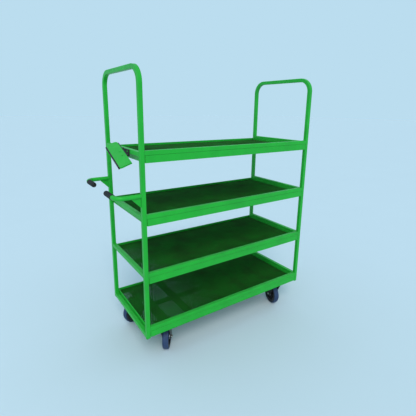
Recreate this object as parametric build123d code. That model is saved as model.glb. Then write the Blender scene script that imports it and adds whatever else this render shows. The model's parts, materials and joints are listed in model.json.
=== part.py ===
from build123d import *
import math
import os

# Plant trolley: two bent-tube end frames carry four mesh decks, and four swivel casters carry the frame.
# Units are millimetres. Z is up, the floor is Z = 0, X runs along the trolley and Y runs across it.
# The push handles stand out at the -X end. The front is the -Y side.

# ---- driving dimensions: frame ----
frame_length = 1300.0        # outside of the end frames, along X
frame_depth = 575.0          # outside of the posts, along Y
frame_height = 1555.0        # foot of the posts to the top bars
foot_height = 205.0          # floor to the foot of the posts, which is the casters' height
tube = 25.0                  # square tube, outside
tube_wall = 1.5
tube_corner = 3.0            # outside corner radius of the square tube
bend_radius = 82.5           # centre line of the end frames' top bends
shelf_count = 4
shelf_pitch = 350.0
rail_foot_gap = 6.0          # posts reach this far below the lowest rail
rim_step = 6.0               # end rails sit this far below the front rim

# ---- driving dimensions: decks ----
rail_height = 65.0           # front rim tube and deck frame together
angle_height = 40.0
angle_width = 25.0
angle_thickness = 3.0
post_gap = 3.0               # deck frame to each post
mesh_thickness = 1.0         # thin sheet with about the mass of the mesh
bearer_width = 50.0
bearer_height = 20.0
stiffener_width = 25.0
bearer_count = 3

# ---- driving dimensions: push handles ----
handle_tube = 25.0
handle_wall = 2.0
handle_height = foot_height + 879.0
handle_reach = 137.0         # end frame face to the grip's centre line
handle_bend = 42.0
grip_end_y = 113.0           # grips stop this far from the middle of the trolley
grip_length = 110.0
grip_diameter = 32.0
gusset_leg = 50.0
gusset_thickness = 4.0

# ---- driving dimensions: writing tray ----
tray_length = 296.0
tray_width = 68.0
tray_sheet = 1.5
tray_edge = 7.0              # depth of the folded edges
tray_lip = 13.0              # depth of the outer edge
tray_rear_height = 17.0      # degrees that the rear end stands up
tray_tilt = 24.0             # degrees that the outer edge drops
tray_toe_out = 4.0           # degrees that the front end turns away from the frame
tray_height = foot_height + 1086.0
tray_reach = 45.0            # end frame face to the middle of the tray
tray_offset_y = -81.0

# ---- driving dimensions: casters ----
caster_inset_x = 158.0       # end of the frame to the swivel axis
caster_inset_y = 72.0
caster_trail = 50.0
wheel_radius = 80.0
wheel_width = 40.0
hub_width = 48.0
rim_radius = 60.0
pad_size = 110.0
pad_thickness = 6.0
plate_length = 105.0
plate_width = 85.0
plate_thickness = 3.5
bolt_spacing_x = 80.0
bolt_spacing_y = 60.0
running_gap = 0.05           # radial clearance of a turning fit
headings = {"front_left": 54.0, "front_right": 78.0, "rear_left": 190.0, "rear_right": 250.0}
braked = ("front_right", "rear_right")

# ---- places worked out from the dimensions above ----
grip_radius = grip_diameter / 2
shift = (handle_reach + grip_radius) / 2          # centres the whole length on X = 0
left_face = shift - frame_length / 2
right_face = shift + frame_length / 2
half_depth = frame_depth / 2
post_y = half_depth - tube / 2
top_height = foot_height + frame_height
deck_left = left_face + tube + post_gap
deck_right = right_face - tube - post_gap
inner_half_depth = half_depth - angle_thickness
lowest_top = foot_height + rail_foot_gap + rail_height
shelf_tops = [lowest_top + shelf_pitch * level for level in range(shelf_count)]
caster_places = {
    "front_left": (left_face + caster_inset_x, caster_inset_y - half_depth),
    "front_right": (right_face - caster_inset_x, caster_inset_y - half_depth),
    "rear_left": (left_face + caster_inset_x, half_depth - caster_inset_y),
    "rear_right": (right_face - caster_inset_x, half_depth - caster_inset_y),
}


def save(name, shapes):
    """Write the solids of one sub-part as one STEP file."""
    solids = []
    for shape in shapes:
        solids += list(shape.solids())
    export_step(Compound(children=solids), "parts/" + name + ".step")


def box_between(low, high):
    """Make a box from its lowest and highest corners."""
    size = [high[i] - low[i] for i in range(3)]
    centre = [(high[i] + low[i]) / 2 for i in range(3)]
    return Pos(*centre) * Box(*size)


def rod(start, direction, radius, length):
    """Make a cylinder that starts at a point and runs along a direction."""
    return extrude(Plane(origin=start, z_dir=direction) * Circle(radius), length)


def hexagon(start, direction, across_flats, length):
    """Make a hexagon prism, for bolt heads and nuts."""
    profile = RegularPolygon(across_flats / math.sqrt(3), 6)
    return extrude(Plane(origin=start, z_dir=direction) * profile, length)


def box_tube(start, direction, side_direction, length, width, height, wall, corner):
    """Make a straight rectangular tube, with its width along side_direction."""
    plane = Plane(origin=start, x_dir=side_direction, z_dir=direction)
    outside = RectangleRounded(width, height, corner)
    inside = RectangleRounded(width - 2 * wall, height - 2 * wall, max(corner - wall, 0.5))
    return extrude(plane * (outside - inside), length)


# ---- fastener axes that the frame and the decks share ----
deck_bolt_radius = 3.0
deck_bolt_drop = 53.0        # shelf top to the deck bolt's axis
deck_bolt_places = []
for top in shelf_tops:
    for side_y in (-post_y, post_y):
        deck_bolt_places.append((left_face + tube, 1, side_y, top - deck_bolt_drop))
        deck_bolt_places.append((right_face - tube, -1, side_y, top - deck_bolt_drop))


def deck_bolt_holes(radius):
    """Make the clearance holes through a post wall, a cleat and the deck frame."""
    holes = []
    for x, inward, y, z in deck_bolt_places:
        holes.append(rod((x - inward * 6, y, z), (inward, 0, 0), radius, 16))
    return holes


def end_frame(x):
    """Bend one square tube into an inverted U: post, top bar, post."""
    bar_z = top_height - tube / 2
    points = [(x, -post_y, foot_height), (x, -post_y, bar_z), (x, post_y, bar_z), (x, post_y, foot_height)]
    path = FilletPolyline(*points, radius=bend_radius)
    start = Plane(origin=points[0], x_dir=(1, 0, 0), z_dir=(0, 0, 1))
    outside = sweep(start * RectangleRounded(tube, tube, tube_corner), path=path)
    hollow = tube - 2 * tube_wall
    inside = sweep(start * RectangleRounded(hollow, hollow, tube_corner - tube_wall), path=path)
    frame = outside - inside
    for hole in deck_bolt_holes(deck_bolt_radius + 0.2):
        frame -= hole
    return frame


def end_rails(x, heights):
    """Make the level rails that cross one end frame, one below each shelf's rim."""
    rails = []
    length = frame_depth - 2 * tube
    for z in heights:
        start = (x, -length / 2, z + tube / 2)
        rail = box_tube(start, (0, 1, 0), (1, 0, 0), length, tube, tube, tube_wall, tube_corner)
        for hole in tray_bolt_shanks(0.2):
            rail -= hole
        rails.append(rail)
    return rails


def front_rim(top):
    """Make the square tube that rims the front of one shelf, between the posts."""
    start = (left_face + tube, -post_y, top - tube / 2)
    length = frame_length - 2 * tube
    return box_tube(start, (1, 0, 0), (0, 1, 0), length, tube, tube, tube_wall, tube_corner)


def deck_frame(top):
    """Make the welded angle ring of one deck: an upright leg outside and a ledge inward at its foot."""
    foot = top - rail_height
    crown = foot + angle_height
    ring = box_between((deck_left, -half_depth, foot), (deck_right, half_depth, crown))
    ring -= box_between(
        (deck_left + angle_thickness, -inner_half_depth, foot + angle_thickness),
        (deck_right - angle_thickness, inner_half_depth, crown + 1),
    )
    ring -= box_between(
        (deck_left + angle_width, angle_width - half_depth, foot - 1),
        (deck_right - angle_width, half_depth - angle_width, crown + 1),
    )
    for hole in deck_bolt_holes(deck_bolt_radius + 0.2):
        ring -= hole
    return ring


def deck_mesh(top):
    """Make the mesh sheet of one deck, which lies on the bearers inside the deck frame."""
    high = top - rail_height + angle_thickness + bearer_height + mesh_thickness
    low = high - mesh_thickness
    return box_between(
        (deck_left + angle_thickness, -inner_half_depth, low),
        (deck_right - angle_thickness, inner_half_depth, high),
    )


bearer_pitch = (deck_right - deck_left) / (bearer_count + 1)
bearer_places = [deck_left + bearer_pitch * (number + 1) for number in range(bearer_count)]


def deck_bearers(top):
    """Make the flat box tubes that cross one deck below its mesh, resting on the ledges."""
    z = top - rail_height + angle_thickness + bearer_height / 2
    bearers = []
    for x in bearer_places:
        start = (x, -inner_half_depth, z)
        length = 2 * inner_half_depth
        bearers.append(
            box_tube(start, (0, 1, 0), (1, 0, 0), length, bearer_width, bearer_height, tube_wall, 2)
        )
    return bearers


def deck_stiffeners():
    """Make the short lengths that run along the middle of each deck, between its cross tubes."""
    pieces = []
    for top in shelf_tops:
        crossings = [(x, bearer_width / 2) for x in bearer_places]
        if top == lowest_top:
            crossings.append((left_face + caster_inset_x, cross_width / 2))
            crossings.append((right_face - caster_inset_x, cross_width / 2))
        ends = [deck_left + angle_thickness]
        for x, half_width in sorted(crossings):
            ends += [x - half_width, x + half_width]
        ends.append(deck_right - angle_thickness)
        z = top - rail_height + angle_thickness + bearer_height / 2
        for start_x, end_x in zip(ends[0::2], ends[1::2]):
            pieces.append(
                box_tube((start_x, 0, z), (1, 0, 0), (0, 1, 0), end_x - start_x, stiffener_width,
                         bearer_height, tube_wall, 2)
            )
    return pieces


cleat_inset = 4.0            # cleats stand back from the faces of the posts
head_height = 4.0


def deck_cleats():
    """Make the flat cleats that fill the gap between each post and a deck frame."""
    cleats = []
    for x, inward, y, z in deck_bolt_places:
        low = (min(x, x + inward * post_gap), y - tube / 2 + cleat_inset, z - 9)
        high = (max(x, x + inward * post_gap), y + tube / 2 - cleat_inset, z + 25)
        cleats.append(box_between(low, high))
    for hole in deck_bolt_holes(deck_bolt_radius + 0.2):
        cleats = [cleat - hole for cleat in cleats]
    return cleats


def deck_bolts():
    """Make the bolts that hold each deck corner to its post, with the nut inside the tube."""
    bolts = []
    for x, inward, y, z in deck_bolt_places:
        head_x = x + inward * (post_gap + angle_thickness)
        bolt = hexagon((head_x, y, z), (inward, 0, 0), 10, head_height)
        bolt += rod((head_x, y, z), (-inward, 0, 0), deck_bolt_radius, 16)
        nut = hexagon((x - inward * tube_wall, y, z), (-inward, 0, 0), 10, 5)
        bolts.append(bolt)
        bolts.append(nut - rod((head_x, y, z), (-inward, 0, 0), deck_bolt_radius, 16))
    return bolts


def post_plugs():
    """Make the plastic plugs that close the feet of the four posts."""
    plugs = []
    inner = tube - 2 * tube_wall
    for x in (left_face + tube / 2, right_face - tube / 2):
        for y in (-post_y, post_y):
            cap = Pos(x, y, foot_height - 1) * extrude(RectangleRounded(tube, tube, tube_corner), 1)
            stem = Pos(x, y, foot_height) * extrude(RectangleRounded(inner, inner, 1.5), 10)
            plugs.append(cap + stem)
    return plugs


def handle_path(side):
    """Return the centre line of one push handle; side is -1 at the front and 1 at the rear."""
    grip_x = left_face - handle_reach
    points = [
        (left_face, side * post_y, handle_height),
        (grip_x, side * post_y, handle_height),
        (grip_x, side * (grip_end_y + 3), handle_height),
    ]
    return FilletPolyline(*points, radius=handle_bend)


def handle(side):
    """Bend one round tube outward from the post and inward along the end of the trolley."""
    path = handle_path(side)
    start = Plane(origin=(left_face, side * post_y, handle_height), z_dir=(-1, 0, 0))
    outside = sweep(start * Circle(handle_tube / 2), path=path)
    return outside - sweep(start * Circle(handle_tube / 2 - handle_wall), path=path)


def handle_gusset(side):
    """Make the triangular plate below one handle, cut to the tube's underside."""
    plane = Plane(origin=(left_face, side * post_y, handle_height), x_dir=(-1, 0, 0), z_dir=(0, 1, 0))
    drop = handle_tube / 2
    outline = Polyline((0, 0), (0, -drop - gusset_leg), (3, -drop - gusset_leg), (gusset_leg, -drop - 3),
                       (gusset_leg, 0), close=True)
    plate = extrude(plane * make_face(outline), gusset_thickness / 2, both=True)
    return plate - rod((left_face + 1, side * post_y, handle_height), (-1, 0, 0), drop, gusset_leg + 9)


def handle_grip(side):
    """Make the rubber grip: a sleeve with shallow rings and a closed, rounded end."""
    start_y = side * (grip_end_y + grip_length - 3)
    grip_x = left_face - handle_reach
    body = rod((grip_x, start_y, handle_height), (0, -side, 0), grip_radius, grip_length)
    rims = body.edges().filter_by(GeomType.CIRCLE)
    body = fillet(rims, 3)
    for ring in range(9):
        groove_y = start_y - side * (16 + ring * 10)
        cutter = rod((grip_x, groove_y, handle_height), (0, -side, 0), grip_radius + 1, 3)
        cutter -= rod((grip_x, groove_y, handle_height), (0, -side, 0), grip_radius - 1, 3)
        body -= cutter
    bore_length = grip_length - 6
    return body - rod((grip_x, start_y, handle_height), (0, -side, 0), handle_tube / 2, bore_length)


# ---- writing tray ----
tray_place = (
    Pos(left_face - tray_reach, tray_offset_y, tray_height)
    * Rot(0, 0, -tray_toe_out)
    * Rot(tray_rear_height, 0, 0)
    * Rot(0, -tray_tilt, 0)
)
mount_length = 92.0
mount_y = -92.0
mount_back = 6.0             # thickness of the mount's upright back
mount_bolt_radius = 2.5
tray_screw_offset = 26.0
tray_screw_radius = 2.0
rail_middle = shelf_tops[-1] - rim_step - tube / 2
mount_bolt_places = (mount_y - 30, mount_y + 30)
mount_along_tray = (mount_y - tray_offset_y) / math.cos(math.radians(tray_rear_height))
tray_screw_spots = [Pos(14, mount_along_tray + side * tray_screw_offset, 0) for side in (-1, 1)]


def tray_outline(inset):
    """Draw the tray from above: local X is its inner side, local Y its rear end."""
    half_width = tray_width / 2 - inset
    half_length = tray_length / 2 - inset
    outline = Rectangle(2 * half_width, 2 * half_length)
    soft_corner = outline.vertices().sort_by(lambda corner: corner.X + corner.Y)[-1]
    outline = fillet(soft_corner, 24 - inset)
    sharp_corners = outline.vertices().group_by(lambda corner: corner.X + corner.Y)[0]
    return fillet(sharp_corners, 12 - inset)


def writing_tray():
    """Fold one sheet into a shallow upturned pan with a deeper outer edge."""
    pan = Pos(0, 0, -tray_edge) * extrude(tray_outline(0), tray_edge + tray_sheet)
    pan -= Pos(0, 0, -tray_edge) * extrude(tray_outline(tray_sheet), tray_edge)
    edge_x = (tray_sheet - tray_width) / 2
    deep_edge = Pos(edge_x, 0, -tray_lip / 2) * Box(tray_sheet, tray_length - 28, tray_lip)
    tray = tray_place * (pan + deep_edge)
    for spot in tray_screw_spots:
        tray -= tray_place * spot * Cylinder(tray_screw_radius + 0.3, 20)
    return tray


def tray_mount():
    """Cut the plastic block that carries the tray: a wedge under its bed and a back against the end rail."""
    front_y = mount_y - mount_length / 2
    rear_y = mount_y + mount_length / 2
    wedge = box_between((left_face - 44, front_y, rail_middle - 26), (left_face, rear_y, rail_middle + 20))
    wedge -= tray_place * Pos(0, 0, 100) * Box(400, 600, 200)
    pan_edge = Box(tray_width + 0.2, tray_length, tray_edge)
    pan_edge -= Box(tray_width - 2 * tray_sheet - 0.2, tray_length, tray_edge)
    wedge -= tray_place * Pos(0, 0, -tray_edge / 2) * pan_edge
    back = box_between((left_face - mount_back, front_y, rail_middle - 26), (left_face, rear_y, rail_middle + 11))
    mount = wedge + back
    for spot in tray_screw_spots:
        mount -= tray_place * spot * Cylinder(tray_screw_radius, 31)
    for hole in tray_bolt_shanks(0.2):
        mount -= hole
    for y in mount_bolt_places:
        low = (left_face - 44, y - 5.5, rail_middle - 5.5)
        mount -= box_between(low, (left_face - mount_back, y + 5.5, rail_middle + 30))
    return mount


def tray_bolt_shanks(play):
    """Make the shanks of the two bolts that hold the mount to the end rail, grown by some play."""
    start_x = left_face + tube
    length = tube + mount_back + 3.2
    return [
        rod((start_x, y, rail_middle), (-1, 0, 0), mount_bolt_radius + play, length) for y in mount_bolt_places
    ]


def tray_screws():
    """Make the tray's fasteners: two screws through its bed, and two bolts and nuts through the end rail."""
    fasteners = []
    for y, shank in zip(mount_bolt_places, tray_bolt_shanks(0)):
        fasteners.append(shank + rod((left_face + tube, y, rail_middle), (1, 0, 0), 4.5, 2.5))
        fasteners.append(hexagon((left_face - mount_back, y, rail_middle), (-1, 0, 0), 8, 2.7) - shank)
    for spot in tray_screw_spots:
        head = Pos(0, 0, tray_sheet + 1.2) * Cylinder(4.5, 2.4)
        shank = Pos(0, 0, (tray_sheet - 15) / 2) * Cylinder(tray_screw_radius, tray_sheet + 15)
        fasteners.append(tray_place * spot * (head + shank))
    return fasteners


clip_length = 76.0
clip_along = 84.0            # middle of the tray to the middle of the clip


def tray_edge_strips():
    """Make the tray's black strips: a clip on the rear half of its inner edge, and one along its outer edge."""
    strip = Pos(tray_width / 2 + 1, clip_along, -4.5) * Box(8, clip_length, 9)
    strip = fillet(strip.edges().filter_by(Axis.Y), 1.5)
    slot_height = tray_edge + 4
    slot_middle = slot_height / 2 - tray_edge
    slot = Pos((tray_width - tray_sheet) / 2, clip_along, slot_middle) * Box(tray_sheet, clip_length + 1, slot_height)
    bumper = Pos(-tray_width / 2 - 4, 0, -6.5) * Box(8, tray_length - 28, 14)
    bumper = fillet(bumper.edges().filter_by(Axis.Y).group_by(Axis.X)[0], 2.5)
    return [tray_place * (strip - slot), tray_place * bumper]


# ---- casters ----
axle_height = wheel_radius
race_foot = foot_height - 13.5
crown_top = foot_height - 14.5
crown_foot = foot_height - 25
leg_inside = hub_width / 2 + 2            # swivel plane to the inside of a fork leg
leg_thickness = 3.5
bridge_end = 64.0            # end of the crown's bridge, behind the swivel axis
pin_x = 80.0                 # brake pin, behind the swivel axis
pin_height = foot_height - 33
pin_radius = 3.0
king_radius = 6.0
sleeve_radius = 7.0
axle_radius = 5.0
mounting_bolt_radius = 4.0


def at_caster(name):
    """Place a caster's local frame: local X trails behind the swivel axis."""
    x, y = caster_places[name]
    return Pos(x, y, 0) * Rot(0, 0, headings[name])


def bolt_spots(name):
    """List the four mounting bolt axes of one caster."""
    x, y = caster_places[name]
    spots = []
    for side_x in (-1, 1):
        for side_y in (-1, 1):
            spots.append((x + side_x * bolt_spacing_x / 2, y + side_y * bolt_spacing_y / 2))
    return spots


def pad_plates():
    """Make the square plates below the lowest deck that the casters bolt to."""
    plates = []
    for name, (x, y) in caster_places.items():
        outline = RectangleRounded(pad_size, pad_size, 4) - Circle(15)
        plate = Pos(x, y, foot_height) * extrude(outline, pad_thickness)
        for spot_x, spot_y in bolt_spots(name):
            plate -= rod((spot_x, spot_y, foot_height - 1), (0, 0, 1), mounting_bolt_radius + 0.5, 20)
        plates.append(plate)
    return plates


cross_width = 60.0
cross_height = 20.0


def cross_members():
    """Make the box tubes that cross the foot of the lowest deck above each pair of casters."""
    members = []
    z = foot_height + pad_thickness + cross_height / 2
    length = frame_depth - 2 * angle_width
    for x in (left_face + caster_inset_x, right_face - caster_inset_x):
        start = (x, -length / 2, z)
        members.append(box_tube(start, (0, 1, 0), (1, 0, 0), length, cross_width, cross_height, tube_wall, 2))
    return members


def top_plates():
    """Make the caster top plates with the fixed half of the swivel race below each."""
    plates = []
    for name, (x, y) in caster_places.items():
        plate = Pos(x, y, foot_height - plate_thickness) * extrude(
            RectangleRounded(plate_length, plate_width, 8), plate_thickness
        )
        race = Pos(x, y, race_foot) * extrude(Circle(38), foot_height - plate_thickness - race_foot)
        race = fillet(race.edges().group_by(Axis.Z)[0], 4)
        cavity = Pos(x, y, race_foot) * extrude(Circle(31), 6)
        core = Pos(x, y, race_foot) * extrude(Circle(14), 6)
        plate += race - (cavity - core)
        plate -= rod((x, y, race_foot - 1), (0, 0, 1), king_radius, 30)
        for spot_x, spot_y in bolt_spots(name):
            plate -= rod((spot_x, spot_y, race_foot), (0, 0, 1), mounting_bolt_radius + 0.5, 30)
        plates.append(plate)
    return plates


def swivel_seals():
    """Make the thin sealing rings between each race and its fork crown."""
    seals = []
    for x, y in caster_places.values():
        seals.append(Pos(x, y, crown_top + 0.3) * extrude(Circle(35) - Circle(26), race_foot - crown_top - 0.3))
    return seals


def king_bolts():
    """Make the swivel pivots: a domed head in the pad plate, a shank through the race and a nut below."""
    bolts = []
    for x, y in caster_places.values():
        head = Pos(x, y, foot_height) * extrude(Circle(10), 4)
        head = fillet(head.edges().group_by(Axis.Z)[-1], 2)
        bolts.append(head + rod((x, y, crown_foot - 9), (0, 0, 1), king_radius, foot_height - crown_foot + 10))
        nut = hexagon((x, y, crown_foot - 0.4), (0, 0, -1), 18, 8)
        bolts.append(nut - rod((x, y, crown_foot - 10), (0, 0, 1), king_radius, 30))
    return bolts


def mounting_bolts():
    """Make the sixteen bolts and nuts that hold the casters to the pad plates."""
    fasteners = []
    top = foot_height + pad_thickness
    bottom = foot_height - plate_thickness
    for name in caster_places:
        for x, y in bolt_spots(name):
            shank = rod((x, y, bottom - 1), (0, 0, 1), mounting_bolt_radius, top - bottom + 10)
            fasteners.append(hexagon((x, y, bottom), (0, 0, -1), 13, 5.3) + shank)
            nut = hexagon((x, y, top), (0, 0, 1), 13, 6.5)
            fasteners.append(nut - rod((x, y, top - 1), (0, 0, 1), mounting_bolt_radius, 20))
    return fasteners


def fork(name):
    """Press one caster fork: a round crown, a bridge below it and two tapered legs."""
    body = Pos(0, 0, crown_foot) * extrude(Circle(36), crown_top - crown_foot)
    body = fillet(body.edges().group_by(Axis.Z)[-1], 3)
    leg_outside = leg_inside + leg_thickness
    body += box_between((-24, -leg_outside, crown_foot), (bridge_end, leg_outside, crown_foot + leg_thickness))
    corners = [Pos(-20, crown_foot - 2) * Circle(4), Pos(bridge_end, crown_foot - 2) * Circle(4)]
    corners.append(Pos(caster_trail, axle_height) * Circle(18))
    corners.append(Pos(-20, crown_foot + leg_thickness - 1) * Circle(1))
    if name in braked:
        corners.append(Pos(pin_x, pin_height) * Circle(8))
    outline = make_hull([edge for corner in corners for edge in corner.edges()])
    side_plane = Plane(origin=(0, 0, 0), x_dir=(1, 0, 0), z_dir=(0, -1, 0))
    slab = extrude(side_plane * outline, leg_outside, both=True)
    slab -= Box(400, 2 * leg_inside, 800)
    slab -= box_between((-200, -100, crown_foot + leg_thickness), (200, 100, 400))
    body += slab
    body -= rod((0, 0, crown_foot - 5), (0, 0, 1), king_radius + running_gap, 30)
    body -= rod((caster_trail, -60, axle_height), (0, 1, 0), axle_radius, 120)
    if name in braked:
        body -= rod((pin_x, -60, pin_height), (0, 1, 0), pin_radius, 120)
    return at_caster(name) * body


def axle(name):
    """Make one caster's axle bolt, the sleeve clamped between the fork legs, and the nut."""
    leg_outside = leg_inside + leg_thickness
    bolt = rod((caster_trail, -leg_outside - 9, axle_height), (0, 1, 0), axle_radius, 2 * leg_outside + 10)
    bolt += hexagon((caster_trail, leg_outside, axle_height), (0, 1, 0), 16, 6)
    sleeve = rod((caster_trail, -leg_inside, axle_height), (0, 1, 0), sleeve_radius, 2 * leg_inside)
    bore = rod((caster_trail, -60, axle_height), (0, 1, 0), axle_radius, 120)
    nut = hexagon((caster_trail, -leg_outside, axle_height), (0, -1, 0), 16, 7.5)
    return [at_caster(name) * piece for piece in (bolt, sleeve - bore, nut - bore)]


def turned(name, profile):
    """Revolve a half section about one caster's axle; the section's X is radius and its Y is width."""
    section = Plane(origin=(0, 0, 0), x_dir=(1, 0, 0), z_dir=(0, 0, 1)) * profile
    wheel = revolve(section, Axis.Y)
    return at_caster(name) * Pos(caster_trail, 0, axle_height) * wheel


def wheel_core(name):
    """Make one wheel core: hub, web and rim in one piece, with ribs on both faces of the web."""
    bore = sleeve_radius + running_gap
    hub = Pos((17 + bore) / 2, 0) * Rectangle(17 - bore, hub_width)
    web = Pos((15 + rim_radius - 4) / 2, 0) * Rectangle(rim_radius - 19, 8)
    rim = Pos(rim_radius - 3, 0) * Rectangle(6, wheel_width - 3)
    core = turned(name, hub + web + rim)
    for number in range(8):
        rib = Pos((rim_radius + 10.5) / 2, 0, 0) * Box(rim_radius - 20.5, 24, 3.5)
        core += at_caster(name) * Pos(caster_trail, 0, axle_height) * Rot(0, number * 45, 0) * rib
    return core


def tyre(name):
    """Make one rubber tyre, with a crowned tread."""
    depth = wheel_radius - rim_radius
    section = Pos(rim_radius + depth / 2, 0) * Rectangle(depth, wheel_width)
    section = fillet(section.vertices().group_by(Axis.X)[-1], 9)
    return turned(name, section)


def brake_pin(name):
    """Make the pin that the brake pedal turns on."""
    reach = leg_inside + leg_thickness + 2
    return at_caster(name) * rod((pin_x, -reach, pin_height), (0, 1, 0), pin_radius, 2 * reach)


def brake_pedal(name):
    """Make one brake pedal: barrel on the pin, foot plate behind and shoe above the tyre."""
    half_barrel = leg_inside - 1
    pedal = rod((0, -half_barrel, 0), (0, 1, 0), 6.5, 2 * half_barrel)
    outline = Polyline((0, 0), (30, 2), (66, -4), (72, -1), (71, 4), (32, 8), (0, 6.5), close=True)
    side_plane = Plane(origin=(0, 0, 0), x_dir=(1, 0, 0), z_dir=(0, -1, 0))
    pedal += extrude(side_plane * make_face(outline), 20, both=True)
    pedal += box_between((12, -14, -28), (33, 14, 3))
    pedal -= rod((caster_trail - pin_x, -60, axle_height - pin_height), (0, 1, 0), wheel_radius + 6.5, 120)
    pedal -= rod((0, -60, 0), (0, 1, 0), pin_radius + running_gap, 120)
    for groove in range(4):
        pedal -= box_between((44 + groove * 6, -16, 5.2 - groove * 0.6), (46 + groove * 6, 16, 12))
    return at_caster(name) * Pos(pin_x, 0, pin_height) * pedal


os.makedirs("parts", exist_ok=True)

rail_heights = [top - rim_step - tube for top in shelf_tops]
save("left_end_frame", [end_frame(left_face + tube / 2)])
save("right_end_frame", [end_frame(right_face - tube / 2)])
save("left_end_rails", end_rails(left_face + tube / 2, [foot_height] + rail_heights[1:]))
save("right_end_rails", end_rails(right_face - tube / 2, rail_heights))
for number, shelf_top in enumerate(shelf_tops, start=1):
    save(f"front_rim_shelf_{number}", [front_rim(shelf_top)])
    save(f"deck_frame_shelf_{number}", [deck_frame(shelf_top)])
    save(f"mesh_deck_shelf_{number}", [deck_mesh(shelf_top)])
    save(f"deck_bearers_shelf_{number}", deck_bearers(shelf_top))
save("deck_stiffeners", deck_stiffeners())
save("deck_cleats", deck_cleats())
save("deck_bolts", deck_bolts())
save("post_plugs", post_plugs())
for word, side in (("front", -1), ("rear", 1)):
    save(f"{word}_handle", [handle(side)])
    save(f"{word}_handle_gusset", [handle_gusset(side)])
    save(f"{word}_handle_grip", [handle_grip(side)])
save("writing_tray", [writing_tray()])
save("tray_mount", [tray_mount()])
save("tray_edge_strips", tray_edge_strips())
save("tray_screws", tray_screws())
save("caster_pad_plates", pad_plates())
save("caster_cross_members", cross_members())
save("caster_top_plates", top_plates())
save("caster_swivel_seals", swivel_seals())
save("caster_king_bolts", king_bolts())
save("caster_mounting_bolts", mounting_bolts())
for name in caster_places:
    save(f"caster_fork_{name}", [fork(name)])
    save(f"caster_axle_{name}", axle(name))
    save(f"wheel_core_{name}", [wheel_core(name)])
    save(f"tyre_{name}", [tyre(name)])
for name in braked:
    save(f"brake_pin_{name}", [brake_pin(name)])
    save(f"brake_pedal_{name}", [brake_pedal(name)])
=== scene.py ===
import json
import math

import bmesh
import bpy
from mathutils import Matrix, Vector


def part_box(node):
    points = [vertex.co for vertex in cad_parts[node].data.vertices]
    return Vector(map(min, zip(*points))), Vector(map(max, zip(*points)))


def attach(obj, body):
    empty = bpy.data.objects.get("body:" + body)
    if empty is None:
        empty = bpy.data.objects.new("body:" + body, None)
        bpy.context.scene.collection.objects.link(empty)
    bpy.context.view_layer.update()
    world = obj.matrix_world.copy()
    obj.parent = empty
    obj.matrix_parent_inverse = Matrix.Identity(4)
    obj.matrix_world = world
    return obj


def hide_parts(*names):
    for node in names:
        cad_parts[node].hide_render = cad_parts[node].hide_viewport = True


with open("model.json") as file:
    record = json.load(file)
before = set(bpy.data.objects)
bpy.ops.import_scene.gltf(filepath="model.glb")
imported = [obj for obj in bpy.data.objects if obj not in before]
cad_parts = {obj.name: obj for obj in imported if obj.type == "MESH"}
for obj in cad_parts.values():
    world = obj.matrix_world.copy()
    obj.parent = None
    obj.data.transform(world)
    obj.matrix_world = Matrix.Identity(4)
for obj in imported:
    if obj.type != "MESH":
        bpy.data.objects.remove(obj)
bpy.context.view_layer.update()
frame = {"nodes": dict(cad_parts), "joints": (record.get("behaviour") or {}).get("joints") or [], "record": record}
nodes = frame["nodes"]

# ---- sizes in metres that the frame doesn't give ----
TUBE = 0.025                 # square tube of the frame
STRAND_WIDTH = 0.0047        # expanded metal of the decks
STRAND_THICKNESS = 0.0015
STRAND_TILT = math.radians(30)
DIAMOND_LONG = 0.024
DIAMOND_SHORT = 0.0115
TUBE_BEAD = 0.0016           # radii of the weld beads
GUSSET_BEAD = 0.0018
HANDLE_BEAD = 0.0022
BEAD_RIPPLE = 0.0028         # distance between the rings of a bead
GRIP_DOME = 0.009            # height of a grip's closed end
GRIP_RIBS = 11
GRIP_COLLAR = 0.016          # length of a grip's smooth collar
TREAD_DEPTH = 0.007          # depth of a tyre's blue-grey tread
FLOOR_HALF_SIZE = 60.0
FLOOR_DROP = 0.0005

# ---- colours, light and camera ----
FLOOR_COLOUR = (0.610, 0.695, 0.742)
FLOOR_MOTTLE = (0.618, 0.703, 0.750)
SKY_COLOUR = (0.497, 0.723, 0.863)
KEY_DIRECTION = Vector((0.50, 1.0, -1.15))
KEY_COLOUR = (1.0, 0.97, 0.93)
KEY_POWER = 1.40
KEY_SPREAD = math.radians(24)
FILL_PLACE = Vector((-3.4, -2.6, 1.8))
FILL_TARGET = Vector((0.0, 0.0, 0.9))
FILL_COLOUR = (1.0, 0.99, 0.97)
FILL_POWER = 14.0
FILL_SIZE = 2.0
CAMERA_PLACE = Vector((-1.234, -1.8825, 1.544))
CAMERA_YAW, CAMERA_PITCH, CAMERA_ROLL = 0.5971, -0.2420, 0.0132
CAMERA_SENSOR = 36.0
CAMERA_LENS = 28.57
CAMERA_SHIFT_Y = -0.0436

SHELVES = range(1, 5)
CASTERS = ("front_left", "front_right", "rear_left", "rear_right")
SIDES = ("front", "rear")
MAIN_BODY = "trolley_frame"


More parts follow.
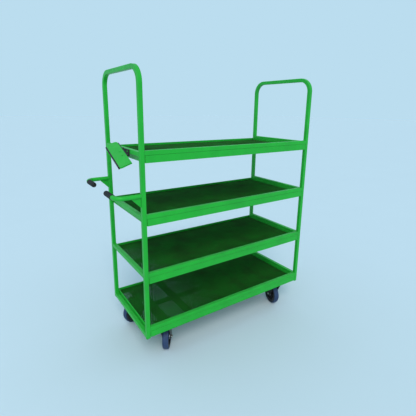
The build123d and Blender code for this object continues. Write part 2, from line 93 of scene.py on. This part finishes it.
# ---- material helpers ----
class Shader:
    """A node material with one Principled shader and short calls to add nodes to it."""

    def __init__(self, name, **constants):
        self.material = bpy.data.materials.new(name)
        self.material.use_nodes = True
        self.tree = self.material.node_tree
        self.principled = self.tree.nodes["Principled BSDF"]
        for socket, value in constants.items():
            self.principled.inputs[socket.replace("_", " ")].default_value = value
        self.place = self.add("ShaderNodeTexCoord").outputs["Object"]

    def add(self, kind, **settings):
        """Add one node and set its properties."""
        node = self.tree.nodes.new(kind)
        for key, value in settings.items():
            setattr(node, key, value)
        return node

    def link(self, source, target):
        """Join an output socket to an input socket."""
        self.tree.links.new(source, target)

    def noise(self, scale, detail=4.0, roughness=0.6, stretch=None):
        """Noise over the object's own space, from 0 to 1; stretch scales its axes."""
        node = self.add("ShaderNodeTexNoise")
        node.inputs["Scale"].default_value = scale
        node.inputs["Detail"].default_value = detail
        node.inputs["Roughness"].default_value = roughness
        if stretch:
            mapping = self.add("ShaderNodeMapping")
            mapping.inputs["Scale"].default_value = stretch
            self.link(self.place, mapping.inputs["Vector"])
            self.link(mapping.outputs["Vector"], node.inputs["Vector"])
        else:
            self.link(self.place, node.inputs["Vector"])
        return node.outputs["Fac"]

    def ramp(self, source, low, high, start=0.0, end=1.0):
        """Stretch the part of a value between low and high over start to end, clamped."""
        node = self.add("ShaderNodeMapRange")
        for socket, value in zip(("From Min", "From Max", "To Min", "To Max"), (low, high, start, end)):
            node.inputs[socket].default_value = value
        self.link(source, node.inputs["Value"])
        return node.outputs["Result"]

    def maths(self, operation, first, second):
        """Combine two values, each a socket or a number."""
        node = self.add("ShaderNodeMath", operation=operation)
        for socket, value in zip(node.inputs, (first, second)):
            if isinstance(value, (int, float)):
                socket.default_value = value
            else:
                self.link(value, socket)
        return node.outputs["Value"]

    def mix(self, factor, first, second):
        """Mix two colours, each a socket or a tuple."""
        node = self.add("ShaderNodeMix", data_type="RGBA")
        self.link(factor, node.inputs["Factor"])
        colour_sockets = [socket for socket in node.inputs if socket.type == "RGBA"]
        for socket, value in zip(colour_sockets, (first, second)):
            if isinstance(value, tuple):
                socket.default_value = (*value, 1.0)
            else:
                self.link(value, socket)
        return next(socket for socket in node.outputs if socket.type == "RGBA")

    def edges(self, radius):
        """Find convex and concave edges: 0 on flat faces, up to 1 on an edge."""
        bevel = self.add("ShaderNodeBevel", samples=4)
        bevel.inputs["Radius"].default_value = radius
        geometry = self.add("ShaderNodeNewGeometry")
        dot = self.add("ShaderNodeVectorMath", operation="DOT_PRODUCT")
        self.link(bevel.outputs["Normal"], dot.inputs[0])
        self.link(geometry.outputs["Normal"], dot.inputs[1])
        return self.ramp(dot.outputs["Value"], 0.99, 0.80)

    def upward(self):
        """Find faces that look up, where dust settles."""
        geometry = self.add("ShaderNodeNewGeometry")
        split = self.add("ShaderNodeSeparateXYZ")
        self.link(geometry.outputs["Normal"], split.inputs["Vector"])
        return self.ramp(split.outputs["Z"], 0.5, 0.95)

    def bump(self, height, strength, distance, softened_edge=0.0008):
        """Add fine relief, on a normal that already rounds the edges a little."""
        soft = self.add("ShaderNodeBevel", samples=4)
        soft.inputs["Radius"].default_value = softened_edge
        node = self.add("ShaderNodeBump")
        self.link(soft.outputs["Normal"], node.inputs["Normal"])
        node.inputs["Strength"].default_value = strength
        node.inputs["Distance"].default_value = distance
        self.link(height, node.inputs["Height"])
        self.link(node.outputs["Normal"], self.principled.inputs["Normal"])

    def finish(self, colour, roughness=None):
        """Join the colour and, if given, the roughness to the shader and return the material."""
        self.link(colour, self.principled.inputs["Base Color"])
        if roughness is not None:
            self.link(roughness, self.principled.inputs["Roughness"])
        return self.material


def painted(name, bright, deep, bare, chip_level, dust_colour, dust_amount, base_roughness, specular=0.30):
    """Powder coat over steel: uneven colour, orange peel, dust on top faces and chips along the edges."""
    shader = Shader(name, Specular_IOR_Level=specular)
    colour = shader.mix(shader.ramp(shader.noise(7.0), 0.35, 0.7), bright, deep)
    scuffs = shader.ramp(shader.noise(60.0, 6.0, 0.7, (1.0, 0.25, 1.0)), 0.62, 0.70)
    colour = shader.mix(shader.maths("MULTIPLY", scuffs, 0.22), colour, dust_colour)
    dust = shader.maths("MULTIPLY", shader.upward(), shader.ramp(shader.noise(22.0), 0.35, 0.7, 0.2, 1.0))
    dust = shader.maths("MULTIPLY", dust, dust_amount)
    colour = shader.mix(dust, colour, dust_colour)
    chips = shader.ramp(shader.noise(190.0, 5.0, 0.65), chip_level, chip_level + 0.03)
    chips = shader.maths("MULTIPLY", chips, shader.edges(0.0022))
    colour = shader.mix(chips, colour, bare)
    peel = shader.noise(420.0, 2.0, 0.4)
    rough = shader.ramp(shader.noise(35.0), 0.3, 0.7, base_roughness - 0.07, base_roughness + 0.09)
    rough = shader.maths("ADD", rough, shader.maths("MULTIPLY", dust, 0.35))
    shader.bump(shader.maths("SUBTRACT", peel, chips), 0.35, 0.0003)
    return shader.finish(colour, rough)


def plated(name, tint, dark, base_roughness):
    """Zinc-plated steel: soft mottling, fine grain and dirt in the corners."""
    shader = Shader(name, Metallic=1.0)
    mottle = shader.ramp(shader.noise(90.0, 5.0, 0.6), 0.35, 0.7)
    colour = shader.mix(mottle, tint, dark)
    grime = shader.maths("MULTIPLY", shader.edges(0.003), shader.ramp(shader.noise(150.0), 0.4, 0.6))
    colour = shader.mix(shader.maths("MULTIPLY", grime, 0.7), colour, (0.06, 0.05, 0.04))
    grain = shader.noise(900.0, 2.0, 0.5)
    rough = shader.ramp(shader.noise(70.0), 0.3, 0.7, base_roughness - 0.08, base_roughness + 0.14)
    shader.bump(grain, 0.25, 0.0002)
    return shader.finish(colour, rough)


def moulded(name, colour, worn, base_roughness, grain=650.0, bump=0.3):
    """Moulded plastic or rubber: fine grain, scuffed edges and dust."""
    shader = Shader(name, Specular_IOR_Level=0.28)
    tone = shader.mix(shader.ramp(shader.noise(25.0), 0.35, 0.7), colour, worn)
    scuff = shader.maths("MULTIPLY", shader.edges(0.002), shader.ramp(shader.noise(240.0, 5.0), 0.42, 0.62))
    tone = shader.mix(shader.maths("MULTIPLY", scuff, 0.55), tone, (0.20, 0.19, 0.18))
    rough = shader.ramp(shader.noise(50.0), 0.3, 0.7, base_roughness - 0.08, base_roughness + 0.08)
    shader.bump(shader.noise(grain, 3.0, 0.5), bump, 0.0003)
    return shader.finish(tone, rough)


green = painted(
    "green_powder_coat",
    bright=(0.012, 0.430, 0.030),
    deep=(0.010, 0.350, 0.026),
    bare=(0.20, 0.17, 0.14),
    chip_level=0.56,
    dust_colour=(0.10, 0.33, 0.08),
    dust_amount=0.18,
    base_roughness=0.40,
)
# Same green paint as the frame, made much darker for the decks: the darkness is painted shade, as the decks lie in
# shadow. The chips and dust on it are wear.
deck_painted_shade_green = painted(
    "deck_painted_shade_green_coat",
    bright=(0.006, 0.120, 0.010),
    deep=(0.008, 0.062, 0.008),
    bare=(0.07, 0.07, 0.02),
    chip_level=0.56,
    dust_colour=(0.022, 0.050, 0.010),
    dust_amount=0.25,
    base_roughness=0.75,
    specular=0.06,
)
weld_green = painted(
    "weld_green_coat",
    bright=(0.020, 0.380, 0.046),
    deep=(0.016, 0.30, 0.038),
    bare=(0.18, 0.14, 0.10),
    chip_level=0.60,
    dust_colour=(0.20, 0.30, 0.16),
    dust_amount=0.2,
    base_roughness=0.42,
)
fork_black = painted(
    "fork_black_coat",
    bright=(0.010, 0.010, 0.011),
    deep=(0.018, 0.018, 0.019),
    bare=(0.28, 0.28, 0.28),
    chip_level=0.54,
    dust_colour=(0.10, 0.09, 0.08),
    dust_amount=0.3,
    base_roughness=0.36,
)
pedal_black = painted(
    "pedal_black_coat",
    bright=(0.012, 0.012, 0.014),
    deep=(0.022, 0.021, 0.021),
    bare=(0.30, 0.29, 0.27),
    chip_level=0.48,
    dust_colour=(0.16, 0.14, 0.11),
    dust_amount=0.4,
    base_roughness=0.40,
)
zinc = plated("zinc_plate", (0.30, 0.31, 0.33), (0.17, 0.175, 0.19), 0.34)
bolt_zinc = plated("zinc_fasteners", (0.66, 0.65, 0.60), (0.48, 0.47, 0.43), 0.30)
black_plastic = moulded("black_plastic", (0.010, 0.010, 0.011), (0.022, 0.022, 0.023), 0.52)
core_plastic = moulded("wheel_core_plastic", (0.011, 0.012, 0.014), (0.028, 0.028, 0.030), 0.48)
grip_rubber = moulded("grip_rubber", (0.008, 0.008, 0.009), (0.018, 0.017, 0.017), 0.62, 900.0, 0.5)
tread_rubber = moulded(
    "tread_blue_grey_rubber", (0.022, 0.046, 0.115), (0.034, 0.062, 0.140), 0.55, 500.0, 0.45
)
wall_rubber = moulded("wall_black_rubber", (0.010, 0.014, 0.024), (0.022, 0.027, 0.038), 0.50, 500.0, 0.45)

SLOT_MATERIALS = {
    "green_paint": green,
    "deck_paint": deck_painted_shade_green,
    "zinc_plate": zinc,
    "bolt_steel": bolt_zinc,
    "wheel_plastic": core_plastic,
    "tyre_rubber": wall_rubber,
    "grip_rubber": grip_rubber,
    "black_plastic": black_plastic,
    "fork_paint": fork_black,
    "pedal_paint": pedal_black,
}


def dress_cad_nodes():
    """Give every CAD node its finish, and shade its curves smooth and its hard edges sharp."""
    for part in frame["record"]["subparts"]:
        obj = nodes[part["node"]]
        obj.data.materials.clear()
        obj.data.materials.append(SLOT_MATERIALS[part["material_slot"]])
        obj.data.shade_smooth()
        obj.data.set_sharp_from_angle(angle=math.radians(32))


# ---- mesh helpers ----
def new_piece(name, mesh_builder, material, body=MAIN_BODY, smooth_angle=40):
    """Turn a bmesh into a piece that rides on a CAD body."""
    mesh = bpy.data.meshes.new(name)
    mesh_builder.to_mesh(mesh)
    mesh_builder.free()
    obj = bpy.data.objects.new(name, mesh)
    bpy.context.scene.collection.objects.link(obj)
    mesh.materials.append(material)
    mesh.shade_smooth()
    mesh.set_sharp_from_angle(angle=math.radians(smooth_angle))
    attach(obj, body)
    return obj


def add_tube(builder, points, radii, sides, closed):
    """Add a round tube along points, with one radius for each point."""
    rings = []
    count = len(points)
    for index, point in enumerate(points):
        before = points[index - 1] if index or closed else points[index]
        after = points[(index + 1) % count] if index + 1 < count or closed else points[index]
        along = (after - before).normalized()
        side = along.cross(Vector((0.13, 0.27, 0.95))).normalized()
        up = side.cross(along)
        ring = []
        for corner in range(sides):
            turn = 2 * math.pi * corner / sides
            out = side * math.cos(turn) + up * math.sin(turn)
            ring.append(builder.verts.new(point + radii[index] * out))
        rings.append(ring)
    pairs = list(zip(rings, rings[1:]))
    if closed:
        pairs.append((rings[-1], rings[0]))
    for first, second in pairs:
        for corner in range(sides):
            following = (corner + 1) % sides
            builder.faces.new((first[corner], first[following], second[following], second[corner]))
    if not closed:
        builder.faces.new(reversed(rings[0]))
        builder.faces.new(rings[-1])


def add_lathe(builder, centre, axis, profile, steps):
    """Turn a closed profile of (distance along the axis, radius) points about an axis."""
    axis = axis.normalized()
    side = axis.cross(Vector((0.0, 0.0, 1.0))).normalized()
    up = side.cross(axis)
    rings = []
    for step in range(steps):
        turn = 2 * math.pi * step / steps
        out = side * math.cos(turn) + up * math.sin(turn)
        rings.append([builder.verts.new(centre + axis * along + out * radius) for along, radius in profile])
    for step in range(steps):
        first, second = rings[step], rings[(step + 1) % steps]
        for index in range(len(profile)):
            following = (index + 1) % len(profile)
            builder.faces.new((first[index], second[index], second[following], first[following]))


# ---- decks: expanded metal ----
def build_deck(number):
    """Replace one plain deck sheet by expanded metal: slit strands that zigzag and meet at short bonds."""
    node = f"mesh_deck_shelf_{number}"
    low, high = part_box(node)
    across = Vector((math.cos(STRAND_TILT), 0.0, math.sin(STRAND_TILT))) * STRAND_WIDTH / 2
    normal = Vector((-math.sin(STRAND_TILT), 0.0, math.cos(STRAND_TILT))) * STRAND_THICKNESS / 2
    middle_z = low.z + across.z + normal.z
    margin = STRAND_WIDTH / 2
    columns = int((high.x - low.x - 2 * margin) / (DIAMOND_SHORT / 2))
    rows = int((high.y - low.y) / (DIAMOND_LONG / 2))
    column_pitch = (high.x - low.x - 2 * margin) / columns
    row_pitch = (high.y - low.y) / rows
    bond = row_pitch * 0.16
    builder = bmesh.new()
    for column in range(columns):
        rings = []
        for row in range(rows + 1):
            right = (row + column) % 2
            x = low.x + margin + (column + right) * column_pitch
            x += (0.5 - right) * STRAND_WIDTH * 0.92
            for offset in (-bond, bond):
                y = min(max(low.y + row * row_pitch + offset, low.y), high.y)
                centre = Vector((x, y, middle_z))
                corners = (across + normal, normal - across, -across - normal, across - normal)
                rings.append([builder.verts.new(centre + corner) for corner in corners])
        for first, second in zip(rings, rings[1:]):
            if (first[0].co - second[0].co).length < 1e-5:
                continue
            for index in range(4):
                following = (index + 1) % 4
                builder.faces.new((first[index], second[index], second[following], first[following]))
    obj = new_piece(f"expanded_deck_{number}", builder, deck_painted_shade_green, smooth_angle=20)
    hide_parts(node)


# ---- weld beads ----
def bead(builder, corners, radius, closed=False):
    """Add a rippled weld bead along a polyline."""
    points = []
    pairs = list(zip(corners, corners[1:]))
    if closed:
        pairs.append((corners[-1], corners[0]))
    for start, end in pairs:
        pieces = max(1, round((end - start).length / BEAD_RIPPLE))
        points += [start.lerp(end, piece / pieces) for piece in range(pieces)]
    if not closed:
        points.append(corners[-1])
    radii = [radius * (0.86 + 0.14 * math.cos(2.1 * index)) for index in range(len(points))]
    add_tube(builder, points, radii, 6, closed)


def square_loop(centre, first, second, half):
    """Return the corners of a square about a centre, in the plane of two unit vectors."""
    return [centre + half * (a * first + b * second) for a, b in ((-1, -1), (1, -1), (1, 1), (-1, 1))]


def build_welds():
    """Lay beads where the rails and rims meet the posts, and where the handles and gussets meet them."""
    builder = bmesh.new()
    x_axis, y_axis, z_axis = Vector((1, 0, 0)), Vector((0, 1, 0)), Vector((0, 0, 1))
    half = TUBE / 2 - 0.0006
    rim_boxes = [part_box(f"front_rim_shelf_{number}") for number in SHELVES]
    for low, high in rim_boxes:
        middle = (low + high) / 2
        for x in (low.x, high.x):
            corners = square_loop(Vector((x, middle.y, middle.z)), y_axis, z_axis, half)
            bead(builder, corners, TUBE_BEAD, closed=True)
    rail_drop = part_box("front_rim_shelf_1")[1].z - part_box("right_end_rails")[0].z
    left_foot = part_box("left_end_rails")[0].z
    for end in ("left", "right"):
        low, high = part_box(f"{end}_end_rails")
        for number, (_, rim_high) in zip(SHELVES, rim_boxes):
            foot = rim_high.z - rail_drop
            if end == "left" and number == 1:
                foot = left_foot
            for y in (low.y, high.y):
                centre = Vector(((low.x + high.x) / 2, y, foot + TUBE / 2))
                bead(builder, square_loop(centre, x_axis, z_axis, half), TUBE_BEAD, closed=True)
    for side in SIDES:
        add_handle_welds(builder, side)
    new_piece("weld_beads", builder, weld_green)


def add_handle_welds(builder, side):
    """Ring one handle where it meets its post and line both edges of its gusset."""
    low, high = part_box(f"{side}_handle")
    gusset_low, gusset_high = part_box(f"{side}_handle_gusset")
    centre = Vector((high.x, (gusset_low.y + gusset_high.y) / 2, (low.z + high.z) / 2))
    radius = (high.z - low.z) / 2
    circle = []
    for step in range(24):
        turn = 2 * math.pi * step / 24
        circle.append(centre + radius * Vector((0, math.cos(turn), math.sin(turn))))
    bead(builder, circle, HANDLE_BEAD, closed=True)
    for y in (gusset_low.y, gusset_high.y):
        foot = Vector((high.x, y, gusset_low.z + 0.002))
        crown = Vector((high.x, y, low.z))
        bead(builder, [foot, crown], GUSSET_BEAD)
        tip = Vector((gusset_low.x + 0.002, y, low.z + 0.0006))
        bead(builder, [Vector((high.x, y, low.z + 0.0006)), tip], GUSSET_BEAD)


# ---- handle grips ----
def build_grip(side):
    """Replace one plain grip by a ribbed rubber one with a domed end and a collar."""
    node = f"{side}_handle_grip"
    low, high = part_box(node)
    direction = -1 if side == "front" else 1
    closed_y, open_y = (high.y, low.y) if side == "front" else (low.y, high.y)
    length = abs(open_y - closed_y)
    radius = (high.z - low.z) / 2
    bore = radius * 0.79
    profile = [(0.0002, 0.0004)]
    for step in range(1, 7):
        turn = math.pi / 2 * step / 6
        profile.append((GRIP_DOME * (1 - math.cos(turn)), radius * 0.94 * math.sin(turn)))
    rib_start, rib_end = GRIP_DOME + 0.004, length - GRIP_COLLAR
    for step in range(GRIP_RIBS * 6 + 1):
        along = rib_start + (rib_end - rib_start) * step / (GRIP_RIBS * 6)
        swell = 0.5 - 0.5 * math.cos(2 * math.pi * step / 6)
        profile.append((along, radius * (0.915 + 0.055 * math.sqrt(swell))))
    profile += [(length - 0.013, radius * 0.94), (length - 0.010, radius * 0.995), (length - 0.002, radius)]
    profile += [(length, radius * 0.96), (length, bore), (0.008, bore), (0.008, 0.0004)]
    builder = bmesh.new()
    centre = Vector(((low.x + high.x) / 2, closed_y, (low.z + high.z) / 2))
    add_lathe(builder, centre, Vector((0, direction, 0)), profile, 40)
    bmesh.ops.recalc_face_normals(builder, faces=builder.faces)
    obj = new_piece(f"{side}_grip_rubber", builder, grip_rubber, smooth_angle=50)
    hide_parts(node)


# ---- wheels ----
def joint_of(name):
    """Return one joint's place and axis."""
    joint = next(joint for joint in frame["joints"] if joint["name"] == name)
    return Vector(joint["pos_m"]), Vector(joint["axis"])


def reach_along(node, centre, axis):
    """Return how far a CAD node reaches from a point along an axis."""
    obj = nodes[node]
    return max((obj.matrix_world @ vertex.co - centre).dot(axis) for vertex in obj.data.vertices)


def build_tyre(caster):
    """Replace one tyre by a crowned one: a grooved blue-grey tread, and black walls with a moulded line."""
    node = f"tyre_{caster}"
    centre, axis = joint_of(f"roll_{caster}")
    low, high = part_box(node)
    outer = (high.z - low.z) / 2
    core_low, core_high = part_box(f"wheel_core_{caster}")
    inner = (core_high.z - core_low.z) / 2
    half = reach_along(node, centre, axis)
    wall = [(half * 0.90, inner), (half * 0.97, inner + 0.0016), (half * 0.985, inner + 0.0045)]
    wall += [(half, inner + 0.0050), (half, inner + 0.0062), (half * 0.975, inner + 0.0067)]
    for step in range(7):
        turn = math.pi / 2 * step / 6
        wall.append((half * 0.60 + half * 0.385 * math.cos(turn), outer - 0.0088 + 0.0078 * math.sin(turn)))
    groove = half * 0.40
    tread = [(groove + 0.0009, outer - 0.0004), (groove + 0.0005, outer - 0.0016)]
    tread += [(groove - 0.0005, outer - 0.0016), (groove - 0.0009, outer - 0.0002), (half * 0.12, outer)]
    right = wall + tread
    left = [(-along, radius) for along, radius in reversed(right)]
    builder = bmesh.new()
    add_lathe(builder, centre, axis, right + left, 96)
    bmesh.ops.recalc_face_normals(builder, faces=builder.faces)
    for face in builder.faces:
        spoke = face.calc_center_median() - centre
        if (spoke - axis * spoke.dot(axis)).length > outer - TREAD_DEPTH:
            face.material_index = 1
    obj = new_piece(f"tyre_tread_{caster}", builder, wall_rubber, f"wheel_{caster}", 35)
    obj.data.materials.append(tread_rubber)
    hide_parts(node)


def build_hub_caps(caster):
    """Add the pressed dust caps that cover both ends of one hub."""
    centre, axis = joint_of(f"roll_{caster}")
    hub_end = reach_along(f"wheel_core_{caster}", centre, axis)
    profile = [(-0.0008, 0.0085), (0.0002, 0.0085), (0.0005, 0.0150), (-0.0020, 0.0195), (-0.0070, 0.0200)]
    profile += [(-0.0070, 0.0188), (-0.0024, 0.0185), (-0.0008, 0.0146)]
    profile = [(hub_end + along, radius) for along, radius in profile]
    builder = bmesh.new()
    for face in (-1, 1):
        add_lathe(builder, centre, axis * face, profile, 48)
    bmesh.ops.recalc_face_normals(builder, faces=builder.faces)
    new_piece(f"hub_caps_{caster}", builder, zinc, f"wheel_{caster}", 35)


# ---- surroundings ----
def build_floor():
    """Lay the pale floor."""
    shader = Shader("pale_floor", Roughness=0.85, Specular_IOR_Level=0.2)
    tone = shader.mix(shader.ramp(shader.noise(1.3), 0.3, 0.7), FLOOR_COLOUR, FLOOR_MOTTLE)
    material = shader.finish(tone)
    builder = bmesh.new()
    bmesh.ops.create_grid(builder, x_segments=2, y_segments=2, size=FLOOR_HALF_SIZE)
    mesh = bpy.data.meshes.new("floor")
    builder.to_mesh(mesh)
    builder.free()
    mesh.materials.append(material)
    floor = bpy.data.objects.new("floor", mesh)
    floor.location.z = -FLOOR_DROP
    bpy.context.scene.collection.objects.link(floor)


def add_light(name, kind, colour, power, direction):
    """Add one light that shines along a direction, and return its object."""
    light = bpy.data.lights.new(name, kind)
    light.color = colour
    light.energy = power
    obj = bpy.data.objects.new(name, light)
    obj.rotation_euler = direction.to_track_quat("-Z", "Y").to_euler()
    bpy.context.scene.collection.objects.link(obj)
    return obj


def light_scene():
    """Soft studio light: an even sky, a soft key from the front left and a weak fill."""
    world = bpy.data.worlds.new("studio_sky")
    world.use_nodes = True
    background = world.node_tree.nodes["Background"]
    background.inputs["Color"].default_value = (*SKY_COLOUR, 1.0)
    background.inputs["Strength"].default_value = 1.0
    bpy.context.scene.world = world
    key = add_light("key", "SUN", KEY_COLOUR, KEY_POWER, KEY_DIRECTION)
    key.data.angle = KEY_SPREAD
    fill = add_light("fill", "AREA", FILL_COLOUR, FILL_POWER, FILL_TARGET - FILL_PLACE)
    fill.data.size = FILL_SIZE
    fill.location = FILL_PLACE
    bpy.context.scene.view_settings.view_transform = "Standard"


def add_camera():
    """Look from beyond the trolley's left front corner, at standing height."""
    forward = Vector((
        math.sin(CAMERA_YAW) * math.cos(CAMERA_PITCH),
        math.cos(CAMERA_YAW) * math.cos(CAMERA_PITCH),
        math.sin(CAMERA_PITCH),
    ))
    level = Vector((math.cos(CAMERA_YAW), -math.sin(CAMERA_YAW), 0.0))
    upright = level.cross(forward)
    right = level * math.cos(CAMERA_ROLL) + upright * math.sin(CAMERA_ROLL)
    up = upright * math.cos(CAMERA_ROLL) - level * math.sin(CAMERA_ROLL)
    data = bpy.data.cameras.new("camera")
    data.sensor_width = CAMERA_SENSOR
    data.lens = CAMERA_LENS
    data.shift_y = CAMERA_SHIFT_Y
    camera = bpy.data.objects.new("camera", data)
    turn = Matrix((right, up, -forward)).transposed()
    camera.matrix_world = Matrix.Translation(CAMERA_PLACE) @ turn.to_4x4()
    bpy.context.scene.collection.objects.link(camera)
    bpy.context.scene.camera = camera


add_camera()
light_scene()
build_floor()
dress_cad_nodes()
for shelf_number in SHELVES:
    build_deck(shelf_number)
build_welds()
for handle_side in SIDES:
    build_grip(handle_side)
for caster_name in CASTERS:
    build_tyre(caster_name)
    build_hub_caps(caster_name)
